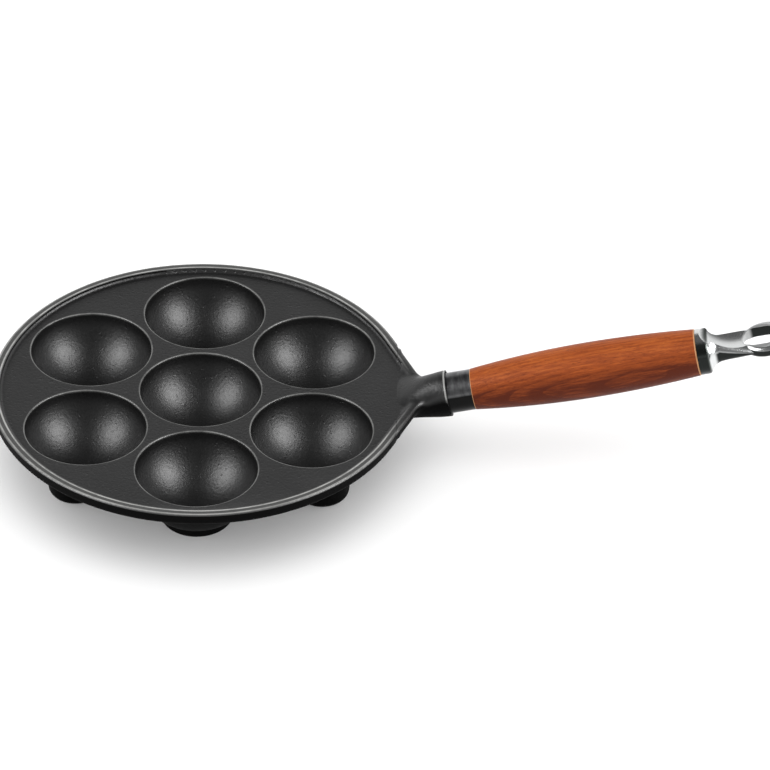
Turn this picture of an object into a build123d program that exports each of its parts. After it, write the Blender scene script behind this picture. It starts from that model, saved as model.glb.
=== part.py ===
"""Cast iron pan with seven round wells, and a wooden grip drawn on by a tie rod with a hanging eye.

The origin is on the surface the pan stands on, under the middle well. +X runs out along the
handle, +Y to the far side and +Z up. All lengths are in millimetres.
"""

import os
from math import cos, radians, sin, sqrt, tan

from build123d import *

# Plate of the casting
rim_radius = 105.4
plate_thickness = 4.7
lip_width = 4.6
lip_height = 2.0
lip_rounding = 1.1
lip_fillet = 1.7
rim_underside_rounding = 2.6
cut_margin = 1.0
close = 0.01

# Wells and the cups that hold them
outer_well_count = 6
well_pitch_radius = 65.1
well_radius = 30.5
well_depth = 26.0
well_edge_rounding = 0.5
cup_wall = 4.0
pad_radius = 18.0
pad_depth = 29.9
pad_rounding = 2.0

# Feet under the four wells beside the handle's line
foot_depth = 37.5
foot_radius = 13.4
foot_rounding = 4.2
foot_offset = 6.0
foot_draft = 6.0

# Neck and socket for the handle
handle_tilt = 12.5
socket_overhang = 19.3
socket_drop = 0.3
socket_radius = 11.7
neck_radius = 10.9
neck_length = 9.0
fan_angle = 24.0
fan_half_width = 10.0
fan_fillet = 9.0
shoulder_inset = 1.4
shoulder_half_width = 15.5
shoulder_half_height = 6.4
shoulder_drop = 3.7
root_inset = 12.4
root_half_width = 27.0
root_half_height = 2.0
root_cover = 0.4
seat_depth = 0.8
seat_clearance = 0.3

# Tie rod
rod_radius = 4.0
thread_engagement = 15.0
rod_clearance = 0.08
rod_end_gap = 1.5
rod_chamfer = 0.6
grip_bore_clearance = 0.4

# Front ferrule
ferrule_radius = 10.25
ferrule_length = 12.5
ferrule_wall = 1.6
ferrule_front = 2.4
ferrule_chamfer = 0.7
tenon_clearance = 0.06
tenon_end_gap = 0.4

# Wooden grip
grip_length = 114.8
grip_front_radius = 10.35
grip_swell_radius = 14.0
grip_swell_share = 0.53
grip_rear_radius = 11.7
grip_edge = 0.5

# Hanging eye
band_radius = 11.55
band_length = 5.0
band_chamfer = 0.8
shoulder_length = 6.5
eye_neck_radius = 7.0
rod_seat_depth = 9.0
eye_reach = 34.5
eye_outer_radius = 12.3
eye_thickness = 5.6
eye_rounding = 2.2
eye_hole_radius = 7.1
eye_hole_length = 19.0
eye_dish_radius = 26.0
eye_dish_depth = 1.2
eye_dish_reach = 13.0
eye_hole_shift = 2.2
eye_web_reach = 6.0
eye_web_half_width = 10.7
eye_neck_overlap = 1.5
eye_rise = 1.3
ellipse_step = 0.001

deck_level = foot_depth
plate_underside = deck_level - plate_thickness
well_sphere_radius = (well_radius**2 + well_depth**2) / (2 * well_depth)
well_sphere_level = deck_level - well_depth + well_sphere_radius
cup_sphere_radius = well_sphere_radius + cup_wall

tilt = radians(handle_tilt)
handle_direction = Vector(cos(tilt), 0, sin(tilt))
socket_mouth = Vector(rim_radius + socket_overhang, 0, deck_level - socket_drop)
handle_axis = Axis(socket_mouth, handle_direction)


def along_handle(distance):
    """Point on the handle's axis at a distance out from the socket's mouth."""
    return socket_mouth + handle_direction * distance


def across_handle(distance):
    """Plane square to the handle's axis, with its X across the pan."""
    return Plane(along_handle(distance), x_dir=(0, 1, 0), z_dir=handle_direction)


# Local X runs along the handle and local Y up from its axis
profile_plane = Plane(socket_mouth, x_dir=handle_direction, z_dir=(0, -1, 0))
# Local X runs along the handle and local Y across the pan, a little above the handle's axis
eye_plane = Plane(
    socket_mouth + Vector(-sin(tilt), 0, cos(tilt)) * eye_rise,
    x_dir=handle_direction,
    z_dir=(-sin(tilt), 0, cos(tilt)),
)

grip_start = ferrule_length
grip_end = grip_start + grip_length
band_end = grip_end + band_length
neck_start = band_end + shoulder_length
eye_centre = grip_end + eye_reach
rod_end = grip_end + rod_seat_depth


# A cup with its round pad, standing at the origin of the well pattern
with BuildPart() as cup:
    with BuildSketch(Plane.XZ) as cup_profile:
        with BuildLine():
            cup_top = deck_level - plate_thickness / 2
            cup_top_radius = sqrt(cup_sphere_radius**2 - (well_sphere_level - cup_top) ** 2)
            pad_join = well_sphere_level - sqrt(cup_sphere_radius**2 - pad_radius**2)
            pad_floor = deck_level - pad_depth
            top = Line((0, cup_top), (cup_top_radius, cup_top))
            wall = RadiusArc(top @ 1, (pad_radius, pad_join), cup_sphere_radius)
            side = Line(wall @ 1, (pad_radius, pad_floor))
            floor = Line(side @ 1, (0, pad_floor))
            Line(floor @ 1, top @ 0)
        make_face()
    revolve(axis=Axis.Z)
    fillet(cup.edges().group_by(Axis.Z)[0], pad_rounding)

# The hollow of one well
with BuildPart() as well:
    with BuildSketch(Plane.XZ) as well_profile:
        with BuildLine():
            mouth = Line((0, deck_level + lip_height), (well_radius, deck_level + lip_height))
            edge = Line(mouth @ 1, (well_radius, deck_level))
            bowl = RadiusArc(edge @ 1, (0, deck_level - well_depth), well_sphere_radius)
            Line(bowl @ 1, mouth @ 0)
        make_face()
    revolve(axis=Axis.Z)

# A foot, widening upwards into the cup it stands under
with BuildPart() as foot:
    foot_height = foot_depth - well_depth / 2
    with BuildSketch(Plane.XY):
        Circle(foot_radius)
    extrude(amount=foot_height, taper=-foot_draft)
    fillet(foot.edges().group_by(Axis.Z)[0], foot_rounding)

# Outline of the plate seen from above: the round rim and the fan that leads to the neck
tangent_x = rim_radius * cos(radians(fan_angle))
tangent_y = rim_radius * sin(radians(fan_angle))
corner_x = tangent_x + (tangent_y - fan_half_width) * tan(radians(fan_angle))
fan_end = corner_x + fan_fillet
with BuildSketch() as outline:
    with BuildLine():
        rim = ThreePointArc((tangent_x, tangent_y), (-rim_radius, 0), (tangent_x, -tangent_y))
        near_side = FilletPolyline(
            rim @ 1,
            (corner_x, -fan_half_width),
            (fan_end, -fan_half_width),
            radius=fan_fillet,
        )
        far_side = FilletPolyline(
            rim @ 0,
            (corner_x, fan_half_width),
            (fan_end, fan_half_width),
            radius=fan_fillet,
        )
        Line(near_side @ 1, far_side @ 1)
    make_face()

with BuildPart() as pan_casting:
    # Plate with the lip as high as its rim
    with BuildSketch(Plane.XY.offset(plate_underside)):
        add(outline.sketch)
    extrude(amount=plate_thickness + lip_height)
    fillet(pan_casting.faces().sort_by(Axis.Z)[0].edges(), rim_underside_rounding)
    fillet(pan_casting.faces().sort_by(Axis.Z)[-1].edges(), lip_rounding)
    # The deck lies a lip's height lower, inside the lip
    with BuildSketch(Plane.XY.offset(deck_level)):
        add(outline.sketch)
        offset(amount=-lip_width, mode=Mode.REPLACE)
    extrude(amount=lip_height + cut_margin, mode=Mode.SUBTRACT)
    deck_face = [
        f
        for f in pan_casting.faces().filter_by(GeomType.PLANE)
        if abs(f.center().Z - deck_level) < close
    ]
    fillet(deck_face[0].edges(), lip_fillet)
    # Neck that grows out of the deck into the round socket
    with BuildSketch(Plane.YZ.offset(rim_radius - root_inset)):
        with Locations((0, deck_level - root_half_height - root_cover)):
            Ellipse(root_half_width, root_half_height)
    with BuildSketch(Plane.YZ.offset(rim_radius - shoulder_inset)):
        with Locations((0, deck_level - shoulder_drop)):
            Ellipse(shoulder_half_width, shoulder_half_height)
    with BuildSketch(across_handle(-neck_length)):
        Ellipse(neck_radius, neck_radius - ellipse_step)
    with BuildSketch(across_handle(0)):
        Ellipse(socket_radius, socket_radius - ellipse_step)
    loft()
    # Cups, and the feet under four of them
    with Locations((0, 0, 0)):
        add(cup.part)
    with PolarLocations(well_pitch_radius, outer_well_count, start_angle=180 / outer_well_count):
        add(cup.part)
    with PolarLocations(well_pitch_radius + foot_offset, 2, start_angle=180 / outer_well_count):
        add(foot.part)
    with PolarLocations(well_pitch_radius + foot_offset, 2, start_angle=-180 / outer_well_count):
        add(foot.part)
    # Wells
    with Locations((0, 0, 0)):
        add(well.part, mode=Mode.SUBTRACT)
    with PolarLocations(well_pitch_radius, outer_well_count, start_angle=180 / outer_well_count):
        add(well.part, mode=Mode.SUBTRACT)
    well_edges = [
        e
        for e in pan_casting.edges().filter_by(GeomType.CIRCLE)
        if abs(e.radius - well_radius) < close and abs(e.center().Z - deck_level) < close
    ]
    fillet(well_edges, well_edge_rounding)
    # Seat for the ferrule and bore for the tie rod
    with BuildSketch(across_handle(0)):
        Circle(ferrule_radius + seat_clearance)
    extrude(amount=-seat_depth, mode=Mode.SUBTRACT)
    with BuildSketch(across_handle(-seat_depth)):
        Circle(rod_radius + rod_clearance)
    extrude(amount=-(thread_engagement + rod_end_gap), mode=Mode.SUBTRACT)
pan_casting.part.label = "pan_casting"

with BuildPart() as front_ferrule:
    with BuildSketch(across_handle(-seat_depth)):
        Circle(ferrule_radius)
    extrude(amount=ferrule_length + seat_depth)
    with BuildSketch(across_handle(ferrule_front - seat_depth)):
        Circle(ferrule_radius - ferrule_wall)
    extrude(amount=ferrule_length, mode=Mode.SUBTRACT)
    with BuildSketch(across_handle(-seat_depth)):
        Circle(rod_radius + grip_bore_clearance)
    extrude(amount=ferrule_length, mode=Mode.SUBTRACT)
    front_edge = (
        front_ferrule.edges()
        .filter_by(GeomType.CIRCLE)
        .filter_by(lambda e: abs(e.radius - ferrule_radius) < close)
        .sort_by(Axis.X)[0]
    )
    chamfer(front_edge, ferrule_chamfer)
front_ferrule.part.label = "front_ferrule"

with BuildPart() as wood_grip:
    with BuildSketch(profile_plane):
        with BuildLine():
            tenon_radius = ferrule_radius - ferrule_wall - tenon_clearance
            tenon_start = ferrule_front - seat_depth + tenon_end_gap
            swell_top = (grip_start + grip_swell_share * grip_length, grip_swell_radius)
            tenon_end = Line((tenon_start, 0), (tenon_start, tenon_radius))
            tenon = Line(tenon_end @ 1, (grip_start, tenon_radius))
            front = Line(tenon @ 1, (grip_start, grip_front_radius))
            TangentArc(swell_top, front @ 1, tangent=(-1, 0))
            taper = TangentArc(swell_top, (grip_end, grip_rear_radius), tangent=(1, 0))
            rear = Line(taper @ 1, (grip_end, 0))
            Line(rear @ 1, tenon_end @ 0)
        make_face()
    revolve(axis=handle_axis)
    rear_edge = wood_grip.edges().filter_by(GeomType.CIRCLE).sort_by(Axis.X)[-1]
    chamfer(rear_edge, grip_edge)
    with BuildSketch(across_handle(0)):
        Circle(rod_radius + grip_bore_clearance)
    extrude(amount=grip_end + grip_length, mode=Mode.SUBTRACT)
wood_grip.part.label = "wood_grip"

# Flat round ring with rounded edges, before its hole
with BuildPart() as eye_ring:
    with BuildSketch(eye_plane.offset(-eye_thickness / 2)):
        with Locations((eye_centre, 0)):
            Circle(eye_outer_radius)
    extrude(amount=eye_thickness)
    fillet(eye_ring.edges().filter_by(GeomType.CIRCLE), eye_rounding)

with BuildPart() as hanging_eye:
    # Band and the shoulder that draws in to the neck
    with BuildSketch(profile_plane):
        with BuildLine():
            face = Line((grip_end, 0), (grip_end, band_radius))
            band = Line(face @ 1, (band_end, band_radius))
            shoulder = Line(band @ 1, (band_end + band_chamfer, band_radius - band_chamfer))
            neck_edge = (neck_start, eye_neck_radius)
            TangentArc(neck_edge, shoulder @ 1, tangent=(-1, 0))
            inner = Line(neck_edge, (neck_start, 0))
            Line(inner @ 1, face @ 0)
        make_face()
    revolve(axis=handle_axis)
    # Neck that flattens into the ring
    with BuildSketch(across_handle(neck_start - eye_neck_overlap)):
        Ellipse(eye_neck_radius, eye_neck_radius - ellipse_step)
    with BuildSketch(across_handle(eye_centre - eye_web_reach)):
        with Locations((0, eye_rise)):
            Ellipse(eye_web_half_width, eye_thickness / 2)
    loft()
    add(eye_ring.part)
    # Shallow dish on both faces of the web before the hole
    for face_side in (1, -1):
        dish_height = face_side * (eye_thickness / 2 + eye_dish_radius - eye_dish_depth)
        with Locations(eye_plane * Location((eye_centre - eye_dish_reach, 0, dish_height))):
            Sphere(eye_dish_radius, mode=Mode.SUBTRACT)
    # Long hole
    with BuildSketch(eye_plane.offset(-eye_neck_radius)):
        with Locations((eye_centre - eye_hole_shift, 0)):
            SlotOverall(eye_hole_length, 2 * eye_hole_radius)
    extrude(amount=2 * eye_neck_radius, mode=Mode.SUBTRACT)
    # Blind seat of the tie rod
    with BuildSketch(across_handle(grip_end)):
        Circle(rod_radius)
    extrude(amount=rod_seat_depth, mode=Mode.SUBTRACT)
hanging_eye.part.label = "hanging_eye"

with BuildPart() as tie_rod:
    with BuildSketch(across_handle(-seat_depth - thread_engagement)):
        Circle(rod_radius)
    extrude(amount=rod_end + seat_depth + thread_engagement)
    chamfer(tie_rod.edges().sort_by(Axis.X)[0], rod_chamfer)
tie_rod.part.label = "tie_rod"

os.makedirs("parts", exist_ok=True)
export_step(pan_casting.part, "parts/pan_casting.step")
export_step(front_ferrule.part, "parts/front_ferrule.step")
export_step(wood_grip.part, "parts/wood_grip.step")
export_step(hanging_eye.part, "parts/hanging_eye.step")
export_step(tie_rod.part, "parts/tie_rod.step")
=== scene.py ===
"""Round cast iron pan with seven wells and a turned wooden grip, seen from the near side."""

from math import cos, pi, radians, sin

import bpy
from mathutils import Matrix, Vector


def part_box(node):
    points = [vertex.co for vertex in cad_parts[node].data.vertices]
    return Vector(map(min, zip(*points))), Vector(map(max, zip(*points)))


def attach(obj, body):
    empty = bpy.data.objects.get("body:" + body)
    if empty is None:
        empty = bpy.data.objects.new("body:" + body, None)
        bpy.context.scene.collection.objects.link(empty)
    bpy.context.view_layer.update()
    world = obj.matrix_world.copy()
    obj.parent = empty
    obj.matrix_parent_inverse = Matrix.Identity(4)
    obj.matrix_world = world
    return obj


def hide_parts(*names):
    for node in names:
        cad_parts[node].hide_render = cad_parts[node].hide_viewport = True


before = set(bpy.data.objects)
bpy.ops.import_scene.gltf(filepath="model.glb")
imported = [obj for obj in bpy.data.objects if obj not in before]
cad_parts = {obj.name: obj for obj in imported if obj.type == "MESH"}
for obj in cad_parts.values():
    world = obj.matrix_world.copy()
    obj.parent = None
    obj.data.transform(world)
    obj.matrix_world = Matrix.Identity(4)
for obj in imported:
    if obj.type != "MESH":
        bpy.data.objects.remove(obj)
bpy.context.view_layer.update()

scene = bpy.context.scene
scene.view_settings.view_transform = "Standard"

# Camera: above and in front, far off with a long lens, aimed so that the eye of the handle is
# cut by the picture's right edge.
deck_level = 0.0375
camera_turn = -0.00463
camera_elevation = 0.64423
camera_roll = 0.00997
camera_distance = 3.5
aim_right = 0.092539
aim_up = 0.003111
lens_length = 325.87
sensor_width = 36.0
sight_length = 50

right = Vector((cos(camera_turn), -sin(camera_turn), 0))
upward = Vector((
    sin(camera_turn) * sin(camera_elevation),
    cos(camera_turn) * sin(camera_elevation),
    cos(camera_elevation),
))
backward = right.cross(upward)
camera = bpy.data.objects.new("camera", bpy.data.cameras.new("camera"))
scene.collection.objects.link(camera)
scene.camera = camera
camera.data.lens = lens_length
camera.data.sensor_width = sensor_width
camera.data.clip_end = sight_length
camera_x = right * cos(camera_roll) + upward * sin(camera_roll)
camera_y = upward * cos(camera_roll) - right * sin(camera_roll)
camera.matrix_world = Matrix.Translation(
    Vector((0, 0, deck_level)) + right * aim_right + upward * aim_up + backward * camera_distance
) @ Matrix((camera_x, camera_y, backward)).transposed().to_4x4()


class Field:
    """A node's output in a material. Sums on it add the nodes that work them out."""

    def __init__(self, tree, socket):
        self.tree = tree
        self.socket = socket

    def node(self, kind, settings=None, inputs=None, output=0):
        """A node of any type: its settings first, then the values or links of its sockets."""
        made = self.tree.nodes.new(kind)
        for name, value in (settings or {}).items():
            if name == "stops":
                self.set_stops(made.color_ramp, value)
            else:
                setattr(made, name, value)
        for name, value in (inputs or {}).items():
            if isinstance(value, Field):
                self.tree.links.new(value.socket, made.inputs[name])
            else:
                made.inputs[name].default_value = value
        return Field(self.tree, made.outputs[output])

    def set_stops(self, ramp, stops):
        while len(ramp.elements) < len(stops):
            ramp.elements.new(1)
        for element, (position, colour) in zip(ramp.elements, stops):
            element.position = position
            element.color = (*colour, 1)

    def sum(self, operation, *others):
        return self.node("ShaderNodeMath", {"operation": operation}, dict(enumerate((self, *others))))

    def __add__(self, other):
        return self.sum("ADD", other)

    def __sub__(self, other):
        return self.sum("SUBTRACT", other)

    def __mul__(self, other):
        return self.sum("MULTIPLY", other)

    def __truediv__(self, other):
        return self.sum("DIVIDE", other)

    def __rsub__(self, other):
        return self.node("ShaderNodeMath", {"operation": "SUBTRACT"}, {0: other, 1: self})

    __radd__ = __add__
    __rmul__ = __mul__

    def along(self, direction, origin=(0, 0, 0)):
        """How far a point lies along a direction, counted from an origin."""
        inputs = {0: self, 1: tuple(direction)}
        product = self.node("ShaderNodeVectorMath", {"operation": "DOT_PRODUCT"}, inputs, output=1)
        return product - Vector(direction).dot(Vector(origin))

    def step(self, low, high):
        """0 below low and 1 above high, with a soft change between."""
        if low > high:
            return 1 - self.step(high, low)
        return self.node(
            "ShaderNodeMapRange",
            {"interpolation_type": "SMOOTHSTEP"},
            {"Value": self, "From Min": low, "From Max": high},
        )

    def noise(self, scale, detail=2.0, roughness=0.5):
        """Noise from 0 to 1 at this point."""
        return self.node(
            "ShaderNodeTexNoise", None,
            {"Vector": self, "Scale": scale, "Detail": detail, "Roughness": roughness},
        )

    def mix(self, low, high):
        """The first colour where this is 0 and the second where it is 1."""
        def as_colour(value):
            return value if isinstance(value, Field) else (*value, 1)
        return self.node(
            "ShaderNodeMix",
            {"data_type": "RGBA"},
            {"Factor": self, "A": as_colour(low), "B": as_colour(high)},
            output="Result",
        )

    def relief(self, depth, below=None):
        """Normal of a surface that this height, from 0 to 1, raises by a depth in metres."""
        inputs = {"Height": self, "Distance": depth}
        if below:
            inputs["Normal"] = below
        return self.node("ShaderNodeBump", None, inputs)


def vector(x, y, z):
    """A vector from three numbers or fields, of which x is a field."""
    return x.node("ShaderNodeCombineXYZ", None, {"X": x, "Y": y, "Z": z})


def new_finish(name):
    """A new material, its shader and the place of a point on the object."""
    material = bpy.data.materials.new(name)
    material.use_nodes = True
    tree = material.node_tree
    place = Field(tree, tree.nodes.new("ShaderNodeTexCoord").outputs["Object"])
    return material, tree.nodes["Principled BSDF"], place


def facing(place):
    """The way the surface faces at a point of the object."""
    return Field(place.tree, place.tree.nodes["Texture Coordinate"].outputs["Normal"])


def set_shader(place, shader, **sockets):
    """Sets or links the shader's sockets, named in small letters with underscores."""
    for name, value in sockets.items():
        socket = next(s for s in shader.inputs if s.name.lower().replace(" ", "_") == name)
        if isinstance(value, Field):
            place.tree.links.new(value.socket, socket)
        else:
            socket.default_value = value


def dress(node, material):
    """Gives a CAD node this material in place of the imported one."""
    for material_slot in node.material_slots:
        material_slot.material = material


# Floor: a wide pale table that keeps the pan's shadow. A share of it glows for the camera and
# for reflections, which brings it up to white without more light on the pan.
white = (1, 1, 1, 1)
floor_size = 30.0
floor_colour = (0.88, 0.88, 0.88, 1)
floor_glow_share = 0.12
bpy.ops.object.select_all(action="DESELECT")
bpy.ops.mesh.primitive_plane_add(size=floor_size, location=(0, 0, 0))
floor = bpy.context.object
floor.name = "floor"
floor_finish = bpy.data.materials.new("pale_floor")
floor_finish.use_nodes = True
tree = floor_finish.node_tree
tree.nodes.remove(tree.nodes["Principled BSDF"])
path = tree.nodes.new("ShaderNodeLightPath")
seen = Field(tree, path.outputs["Is Camera Ray"]) + Field(tree, path.outputs["Is Glossy Ray"])
seen = (seen + Field(tree, path.outputs["Is Transmission Ray"])) * floor_glow_share
matt = seen.node("ShaderNodeBsdfDiffuse", None, {"Color": floor_colour})
glow = seen.node("ShaderNodeEmission", None, {"Color": white, "Strength": 1.0})
table_top = seen.node("ShaderNodeMixShader", None, {0: seen, 1: matt, 2: glow})
tree.links.new(table_top.socket, tree.nodes["Material Output"].inputs["Surface"])
floor.data.materials.append(floor_finish)

# Room: white behind the pan and low all round, dark overhead, like a light table in a dark
# studio. The camera sees plain white, and the colours take an even light from all sides.
room_light = 1.36
room_dark = 0.06
white_below = 0.06
dark_above = 0.32
rise_behind = 0.5
world = bpy.data.worlds.new("room")
world.use_nodes = True
scene.world = world
tree = world.node_tree
path = tree.nodes.new("ShaderNodeLightPath")
camera_ray = Field(tree, path.outputs["Is Camera Ray"])
mirror_ray = Field(tree, path.outputs["Is Glossy Ray"])
mirror_ray = mirror_ray + Field(tree, path.outputs["Is Transmission Ray"])
direction = Field(tree, tree.nodes.new("ShaderNodeTexCoord").outputs["Generated"])
behind = direction.along((0, 1, 0)).sum("MAXIMUM", 0)
horizon = direction.along((0, 0, 1)) - behind * rise_behind
reflected = horizon.step(dark_above, white_below) * (1 - room_dark) + room_dark
strength = camera_ray + (1 - camera_ray) * (mirror_ray * reflected + (1 - mirror_ray) * room_light)
tree.links.new(strength.socket, tree.nodes["Background"].inputs["Strength"])
tree.nodes["Background"].inputs["Color"].default_value = white

# Lamps: two soft boxes at the sides, which only show as the two pale patches in each well and
# on the metal, and one overhead that only lights the colours.
lamp_aim = Vector((0.06, 0, deck_level))


def soft_lamp(name, toward, distance, size, glow, mirrored):
    """A square lamp facing the pan, either only mirrored by it or only a light on its colours."""
    data = bpy.data.lights.new(name, "AREA")
    data.shape = "SQUARE"
    data.size = size
    data.energy = glow * pi * size**2
    lamp = bpy.data.objects.new(name, data)
    scene.collection.objects.link(lamp)
    toward = Vector(toward).normalized()
    lamp.location = lamp_aim + toward * distance
    lamp.rotation_euler = toward.to_track_quat("Z", "Y").to_euler()
    lamp.visible_glossy = mirrored
    lamp.visible_diffuse = not mirrored


soft_lamp("left_lamp", (-0.78, -0.19, 0.59), distance=2.4, size=1.5, glow=10.0, mirrored=True)
soft_lamp("right_lamp", (0.78, -0.19, 0.59), distance=2.4, size=1.5, glow=12.5, mirrored=True)
soft_lamp("top_lamp", (0.0, -0.25, 1.0), distance=3.0, size=2.4, glow=1.1, mirrored=False)

# Pan casting: one piece of cast iron with a lip, seven wells in cups, four feet and the neck
# that ends in the handle's socket. It is cast in sand and has a matt black enamel, whose fine
# grain shows in the wells. The bright lines on its edges are painted highlights.
well_pitch_radius = 0.0651
well_radius = 0.0305
well_angles = range(30, 390, 60)
rim_radius = 0.1054
lip_width = 0.0046
fan_angle = radians(24)
handle_tilt = radians(12.5)
handle_along = Vector((cos(handle_tilt), 0, sin(handle_tilt)))
socket_mouth = Vector((0.1247, 0, deck_level - 0.0003))
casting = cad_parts["pan_casting"]

# The neck is cast in one flow with the plate: a fine shell of it is smoothed step by step, until
# the lip fades and the socket grows out of the deck in a hollow curve.
merge_distance = 0.000001
neck_start = 0.0985
neck_overlap = 0.0015
neck_grid = 0.00045
neck_fades = ((0.1005, 10), (0.1025, 10), (0.1045, 14), (0.1065, 16))
neck_end = 0.1185
plate_middle = deck_level - 0.0016
overlap_height = 0.975
overlap_breadth = 0.9975
crease_angle = radians(32)


def cut_copy(name, cut_at, keep_outer):
    """The casting's part on one side of a cut across the plate, as a closed copy."""
    bpy.ops.object.select_all(action="DESELECT")
    part = bpy.data.objects.new(name, casting.data.copy())
    scene.collection.objects.link(part)
    part.select_set(True)
    bpy.context.view_layer.objects.active = part
    bpy.ops.object.mode_set(mode="EDIT")
    bpy.ops.mesh.select_all(action="SELECT")
    bpy.ops.mesh.remove_doubles(threshold=merge_distance)
    bpy.ops.mesh.customdata_custom_splitnormals_clear()
    bpy.ops.mesh.bisect(
        plane_co=(cut_at, 0, 0), plane_no=(1, 0, 0), use_fill=True,
        clear_inner=keep_outer, clear_outer=not keep_outer,
    )
    bpy.ops.object.mode_set(mode="OBJECT")
    return part


neck = cut_copy("neck", neck_start - neck_overlap, keep_outer=True)
neck.data.remesh_voxel_size = neck_grid
bpy.ops.object.voxel_remesh()
for start, times in neck_fades:
    for vertex in neck.data.vertices:
        vertex.select = start < vertex.co.x < neck_end
    bpy.ops.object.mode_set(mode="EDIT")
    bpy.ops.mesh.vertices_smooth(factor=0.5, repeat=times)
    bpy.ops.object.mode_set(mode="OBJECT")
# The shell begins just inside the plate, so that no gap shows between the two
for vertex in neck.data.vertices:
    if vertex.co.x < neck_start:
        vertex.co.z = plate_middle + (vertex.co.z - plate_middle) * overlap_height
        vertex.co.y = vertex.co.y * overlap_breadth
plate = cut_copy("pan_casting_cast", neck_start, keep_outer=False)
neck.select_set(True)
bpy.ops.object.join()
bpy.ops.object.shade_smooth_by_angle(angle=crease_angle)
even = plate.modifiers.new("even", "WEIGHTED_NORMAL")
even.keep_sharp = True
bpy.ops.object.modifier_apply(modifier="even")

iron_black = (0.0016, 0.0016, 0.0017)
iron_grey = (0.0052, 0.0052, 0.0054)
underside_shade_black = (0.0008, 0.0008, 0.0008, 1)
lip_grey = (0.050, 0.050, 0.048)
highlight_grey = (0.32, 0.32, 0.31)
iron_roughness = 0.43
grain_depth = 0.00008
ripple_depth = 0.00009
material, shader, place = new_finish("cast_iron_enamel")
facing_up = facing(place).along((0, 0, 1))
clouds = place.noise(38.0, detail=3.0, roughness=0.6)
grain = place.noise(900.0, detail=2.0, roughness=0.55)
ripple = place.noise(560.0, detail=2.0, roughness=0.5)
pits = place.noise(520.0, detail=1.0, roughness=0.4).step(0.66, 0.74)
height = place.along((0, 0, 1))
east = place.along((1, 0, 0))
north = place.along((0, 1, 0))
flat_place = vector(east, north, 0)

# Painted highlight: bright rings round the wells' mouths
ring_width = 0.0008
ring_below = deck_level - 0.0012
ring_above = deck_level - 0.0006
rim_highlight_strength = 0.42
centres = [(0, 0)]
for angle in well_angles:
    centres.append((well_pitch_radius * cos(radians(angle)), well_pitch_radius * sin(radians(angle))))
well_rim_highlights = 0
for x, y in centres:
    reach = flat_place.node(
        "ShaderNodeVectorMath", {"operation": "DISTANCE"}, {0: flat_place, 1: (x, y, 0)}, output=1
    )
    well_rim_highlights = (reach - well_radius).sum("ABSOLUTE").step(ring_width, ring_width * 0.4).sum("MAXIMUM", well_rim_highlights)
well_rim_highlights = well_rim_highlights * height.step(ring_below, ring_above)
well_rim_highlights = well_rim_highlights * (0.45 + 0.55 * place.noise(120.0, detail=2.0, roughness=0.6).step(0.3, 0.7))

# Two painted highlight lines on the lip, counted in from the plate's outline, which is a circle
# and beside the handle its two tangents. They fade towards the neck.
line_width = 0.0006
line_inside = 0.0036
line_outside = 0.0009
lip_below = deck_level + 0.001
lip_above = deck_level + 0.0016
lip_edge = 0.0002
corner = 0.0005
lip_fades_from = 0.088
lip_fades_to = 0.107
from_middle = flat_place.node("ShaderNodeVectorMath", {"operation": "LENGTH"}, {0: flat_place}, output=1)
aside = north.sum("ABSOLUTE")
to_tangent = east * cos(fan_angle) + aside * sin(fan_angle)
on_circle = (aside * cos(fan_angle) - east * sin(fan_angle)).step(-corner, corner)
inward = rim_radius - (on_circle * from_middle + (1 - on_circle) * to_tangent)
lip_top = inward.step(lip_width + lip_edge, lip_width - lip_edge) * height.step(lip_below, lip_above)
lip_top = lip_top * east.step(lip_fades_to, lip_fades_from)
inner_highlight_line = (inward - line_inside).sum("ABSOLUTE").step(line_width, line_width * 0.3)
outer_highlight_line = (inward - line_outside).sum("ABSOLUTE").step(line_width, line_width * 0.3) * 0.75
lip_highlights = inner_highlight_line.sum("MAXIMUM", outer_highlight_line) * lip_top
lip_highlights = lip_highlights * (0.55 + 0.45 * place.noise(90.0, detail=3.0, roughness=0.6).step(0.35, 0.6))

# Painted highlight: a bright line round the socket's mouth
mouth_inset = 0.0005
mouth_low = 0.030
mouth_high = 0.034
mouth_highlight = (place.along(handle_along, socket_mouth) + mouth_inset).sum("ABSOLUTE").step(0.0006, 0.0002)
mouth_highlight = mouth_highlight * height.step(mouth_low, mouth_high)

base = clouds.step(0.3, 0.75).mix(iron_black, iron_grey)
base = lip_top.mix(base, (0.6 + 0.4 * grain).mix(iron_grey, lip_grey))
# The rings and lines are painted highlights, a light grey in the base colour
painted_highlights = (well_rim_highlights * rim_highlight_strength).sum("MAXIMUM", lip_highlights.sum("MAXIMUM", mouth_highlight * 0.8))
surface = (grain - 0.7 * pits).relief(grain_depth, ripple.relief(ripple_depth))
set_shader(
    place, shader,
    base_color=painted_highlights.mix(base, highlight_grey),
    roughness=iron_roughness + 0.10 * (ripple - 0.5) + 0.05 * (clouds - 0.5) - 0.10 * painted_highlights,
    normal=surface,
    ior=1.54,
)
# Painted shade: the walls and the underside, which face sideways or down, get a darker and less
# reflective finish than the enamel
underside_shade_from = 0.45
underside_shade_full = 0.10
painted_underside_shader = place.tree.nodes.new("ShaderNodeBsdfPrincipled")
set_shader(place, painted_underside_shader, base_color=underside_shade_black, roughness=0.6, normal=surface, ior=1.12)
blend = place.node(
    "ShaderNodeMixShader", None,
    {
        0: facing_up.step(underside_shade_from, underside_shade_full),
        1: Field(place.tree, shader.outputs[0]),
        2: Field(place.tree, painted_underside_shader.outputs[0]),
    },
)
place.tree.links.new(blend.socket, place.tree.nodes["Material Output"].inputs["Surface"])
dress(plate, material)
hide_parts("pan_casting")
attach(plate, "pan")

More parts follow.
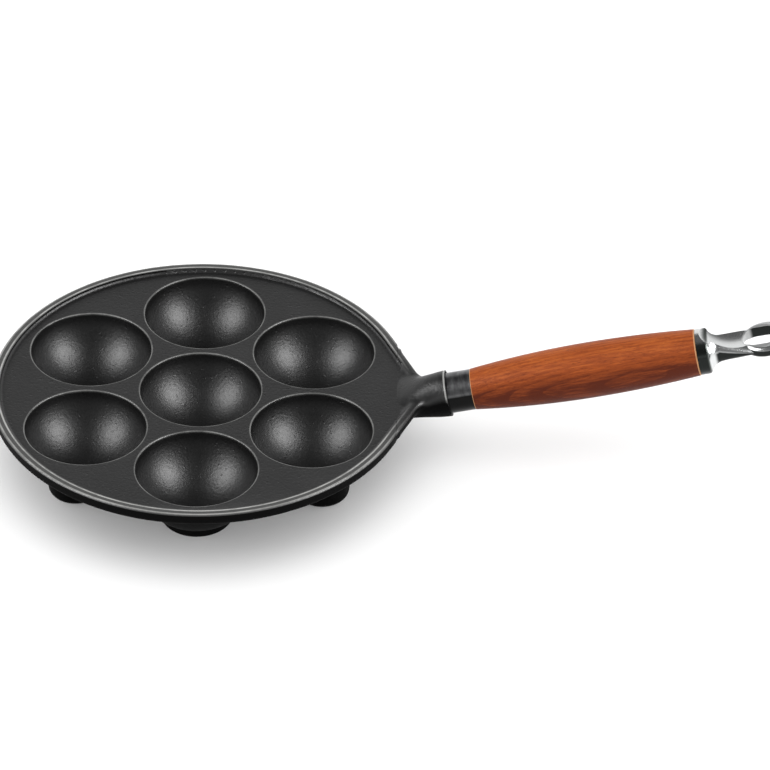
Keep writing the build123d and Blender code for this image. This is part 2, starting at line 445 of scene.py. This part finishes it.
# Front ferrule: a drawn steel cup over the grip's front end, seated in the pan's socket and held
# by the tie rod's pull. It is polished, with fine lines round it from the lathe.
handle_up = Vector((-sin(handle_tilt), 0, cos(handle_tilt)))
handle_across = Vector((0, 1, 0))


def on_handle(place):
    """A point's distance from the socket's mouth along the handle, across it and up from its axis."""
    return (
        place.along(handle_along, socket_mouth),
        place.along(handle_across, socket_mouth),
        place.along(handle_up, socket_mouth),
    )


def painted_underside_shade(place):
    """1 where the handle's metal faces down; there it is painted darker, as painted shade."""
    to_floor = facing(place).along((0, 0, 1)).step(0.44, 0.30)
    return to_floor * facing(place).along(handle_along).step(0.55, 0.25)


steel_dark = (0.09, 0.09, 0.093)
steel_light = (0.20, 0.202, 0.206)
steel_painted_shade = (0.010, 0.010, 0.010)
lathe_depth = 0.000004
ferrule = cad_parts["front_ferrule"]
material, shader, place = new_finish("ferrule_steel")
along, across, up = on_handle(place)
lathe_lines = vector(along * 9000.0, across * 60.0, up * 60.0).noise(1.0, detail=2.0, roughness=0.6)
smears = vector(along * 250.0, across * 90.0, up * 90.0).noise(1.0, detail=3.0, roughness=0.6)
# The steel facing down is painted darker, as painted shade
set_shader(
    place, shader,
    base_color=painted_underside_shade(place).mix(smears.step(0.35, 0.7).mix(steel_dark, steel_light), steel_painted_shade),
    metallic=1.0,
    roughness=0.30 + 0.12 * (smears - 0.4) + 0.06 * (lathe_lines - 0.5),
    normal=lathe_lines.relief(lathe_depth),
)
dress(ferrule, material)

# Wooden grip: beech turned to a long swell, stained red-brown and varnished. The rings of the
# tree lie nearly flat to the near side, so they run fine along the top. The lower side is painted
# darker as painted shade, and the rings show stronger there.
wood_light = (0.43, 0.108, 0.018)
wood_mid = (0.25, 0.050, 0.009)
wood_dark = (0.075, 0.012, 0.003)
wood_end_highlight = (0.60, 0.33, 0.16)
wood_stops = [(0.0, wood_light), (0.42, wood_mid), (1.0, wood_dark)]
ring_spacing = 0.0021
ring_wander = 0.0055
ring_waver = 0.0007
ring_face = Vector((0.045, -0.98, -0.12))
wood_front = 0.0126
wood_rear = 0.1268
front_highlight_width = 0.00025
rear_highlight_width = 0.0004
fibre_depth = 0.00002
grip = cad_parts["wood_grip"]
material, shader, place = new_finish("varnished_beech")
facing_up = facing(place).along((0, 0, 1))
along, across, up = on_handle(place)
wander = vector(along * 14.0, across * 40.0, up * 40.0).noise(1.0, detail=3.0, roughness=0.5)
waver = vector(along * 70.0, across * 260.0, up * 260.0).noise(1.0, detail=2.0, roughness=0.5)
depth = vector(along, across, up).along(ring_face)
year = ((depth + ring_wander * wander + ring_waver * waver) / ring_spacing).sum("FRACT")
late_wood = year.step(0.30, 0.90) * year.step(1.0, 0.93)
fibres = vector(along * 130.0, across * 2400.0, up * 2400.0).noise(1.0, detail=3.0, roughness=0.7)
threads = vector(along * 60.0, across * 900.0, up * 900.0).noise(1.0, detail=2.0, roughness=0.6)
pores = vector(along * 420.0, across * 4200.0, up * 4200.0).noise(1.0, detail=1.0, roughness=0.4)
pores = pores.step(0.58, 0.70)
patches = vector(along * 24.0, across * 60.0, up * 60.0).noise(1.0, detail=2.0, roughness=0.5)
# Painted shade: the grip is painted darker towards its underside
lower_side_shade = facing_up.step(0.85, -0.15)
tone = 0.11 * late_wood + 0.75 * (fibres - 0.5) + 0.65 * (threads - 0.5) + 0.45 * (patches - 0.5)
tone = tone + 0.30 + 0.62 * lower_side_shade + 0.14 * late_wood * lower_side_shade
body_colour = tone.node("ShaderNodeValToRGB", {"stops": wood_stops}, {"Fac": tone})
body_colour = (pores * 0.5).mix(body_colour, wood_dark)
# Painted highlight: a pale line of wood round each end of the grip
rear_highlight = along.step(wood_rear - rear_highlight_width, wood_rear)
end_highlights = rear_highlight.sum("MAXIMUM", along.step(wood_front + front_highlight_width, wood_front))
set_shader(
    place, shader,
    base_color=(end_highlights * 0.7).mix(body_colour, wood_end_highlight),
    roughness=0.45 + 0.15 * (fibres - 0.5),
    normal=(fibres - pores).relief(fibre_depth),
    ior=1.17,
    coat_weight=0.04,
    coat_roughness=0.22,
)
dress(grip, material)

# Hanging eye: a die-cast end piece, chromed and polished, with a band that closes on the grip,
# a neck and a flat ring with a long hole. The tie rod is fixed in it, so it turns the rod.
chrome_bright = (0.70, 0.71, 0.71)
chrome_shaded = (0.055, 0.062, 0.058)
chrome_painted_shade = (0.02, 0.022, 0.021)
hole_grey = (0.20, 0.20, 0.20)
hole_place = 0.1596
hole_inside = 0.0088
hole_outside = 0.0102
band_end = 0.1326
band_fade = 0.001
band_low = 0.0090
band_high = 0.0115
skin_depth = 0.00010
polish_depth = 0.000012
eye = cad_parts["hanging_eye"]
material, shader, place = new_finish("eye_chrome")
along, across, up = on_handle(place)
polish = vector(along * 120.0, across * 120.0, up * 120.0).noise(1.0, detail=3.0, roughness=0.55)
casting_skin = place.noise(900.0, detail=3.0, roughness=0.6)
hole_reach = vector(along - hole_place, across, 0)
hole_reach = hole_reach.node("ShaderNodeVectorMath", {"operation": "LENGTH"}, {0: hole_reach}, output=1)
in_hole = hole_reach.step(hole_outside, hole_inside)
# Painted shade and painted reflection: the lower part of the band is a dark greenish chrome
band_shade = along.step(band_end + band_fade, band_end) * up.step(band_high, band_low)
chrome = (in_hole * 0.6).mix(band_shade.mix(chrome_bright, chrome_shaded), hole_grey)
# The chrome facing down is painted darker, as painted shade
set_shader(
    place, shader,
    base_color=painted_underside_shade(place).mix(chrome, chrome_painted_shade),
    metallic=1.0,
    roughness=0.25 + 0.08 * (polish - 0.5) + 0.20 * in_hole,
    normal=(casting_skin * (0.04 + 0.96 * in_hole)).relief(skin_depth, polish.relief(polish_depth)),
)
dress(eye, material)

# Tie rod: a steel rod through the grip, plated with zinc. Its front is cut with a right-hand
# thread that screws into the pan's socket; its rear end is fast in the hanging eye.
rod_radius = 0.004
rod_facets = 64
thread_pitch = 0.00125
thread_turns = 12
thread_depth = 0.00070
thread_steps = 36
thread_flat = 0.13
thread_root = 0.15
thread_flank = 0.36
thread_crease = radians(30)
rod_low, rod_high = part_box("tie_rod")
rod_front = (rod_low.x - socket_mouth.x + rod_radius * sin(handle_tilt)) / cos(handle_tilt)
rod_rear = (rod_high.x - socket_mouth.x - rod_radius * sin(handle_tilt)) / cos(handle_tilt)
thread_rear = rod_front + thread_pitch * thread_turns
root_radius = rod_radius - thread_depth
bpy.ops.object.select_all(action="DESELECT")
bpy.ops.mesh.primitive_plane_add(size=rod_radius)
rod = bpy.context.object
rod.name = "tie_rod_threaded"
bpy.ops.object.mode_set(mode="EDIT")
bpy.ops.mesh.select_all(action="SELECT")
bpy.ops.mesh.merge(type="CENTER")
bpy.ops.transform.translate(value=(root_radius, 0, rod_front))
tooth = (
    (0, thread_root), (thread_depth, thread_flank), (0, thread_flat), (-thread_depth, thread_flank)
)
for outward, forward in tooth:
    bpy.ops.mesh.extrude_region_move(
        TRANSFORM_OT_translate={"value": (outward, 0, forward * thread_pitch)}
    )
bpy.ops.object.mode_set(mode="OBJECT")
turning = rod.modifiers.new("turning", "SCREW")
turning.screw_offset = thread_pitch
turning.iterations = thread_turns
turning.steps = thread_steps
turning.render_steps = thread_steps
bpy.ops.object.modifier_apply(modifier="turning")
core_radius = root_radius * 0.99
for radius, front, rear in ((core_radius, rod_front, thread_rear), (rod_radius, thread_rear, rod_rear)):
    bpy.ops.object.select_all(action="DESELECT")
    bpy.ops.mesh.primitive_cylinder_add(
        vertices=rod_facets, radius=radius, depth=rear - front, location=(0, 0, (front + rear) / 2)
    )
    bpy.ops.object.transform_apply(location=True, rotation=True, scale=True)
    rod.select_set(True)
    bpy.context.view_layer.objects.active = rod
    bpy.ops.object.join()
bpy.ops.object.mode_set(mode="EDIT")
bpy.ops.mesh.select_all(action="SELECT")
bpy.ops.mesh.normals_make_consistent(inside=False)
bpy.ops.object.mode_set(mode="OBJECT")
bpy.ops.object.shade_smooth_by_angle(angle=thread_crease)
handle_frame = Matrix((handle_across, handle_up, handle_along)).transposed().to_4x4()
rod.data.transform(Matrix.Translation(socket_mouth) @ handle_frame)

zinc_dark = (0.46, 0.47, 0.49)
zinc_light = (0.62, 0.62, 0.60)
drawn_depth = 0.00001
material, shader, place = new_finish("zinc_plated_steel")
along, across, up = on_handle(place)
plating = place.noise(700.0, detail=3.0, roughness=0.6)
drawn_lines = vector(along * 40.0, across * 2500.0, up * 2500.0).noise(1.0, detail=2.0, roughness=0.5)
set_shader(
    place, shader,
    base_color=plating.step(0.3, 0.7).mix(zinc_dark, zinc_light),
    metallic=1.0,
    roughness=0.30 + 0.15 * (plating - 0.5),
    normal=drawn_lines.relief(drawn_depth),
)
rod.data.materials.append(material)
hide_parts("tie_rod")
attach(rod, "hanger")
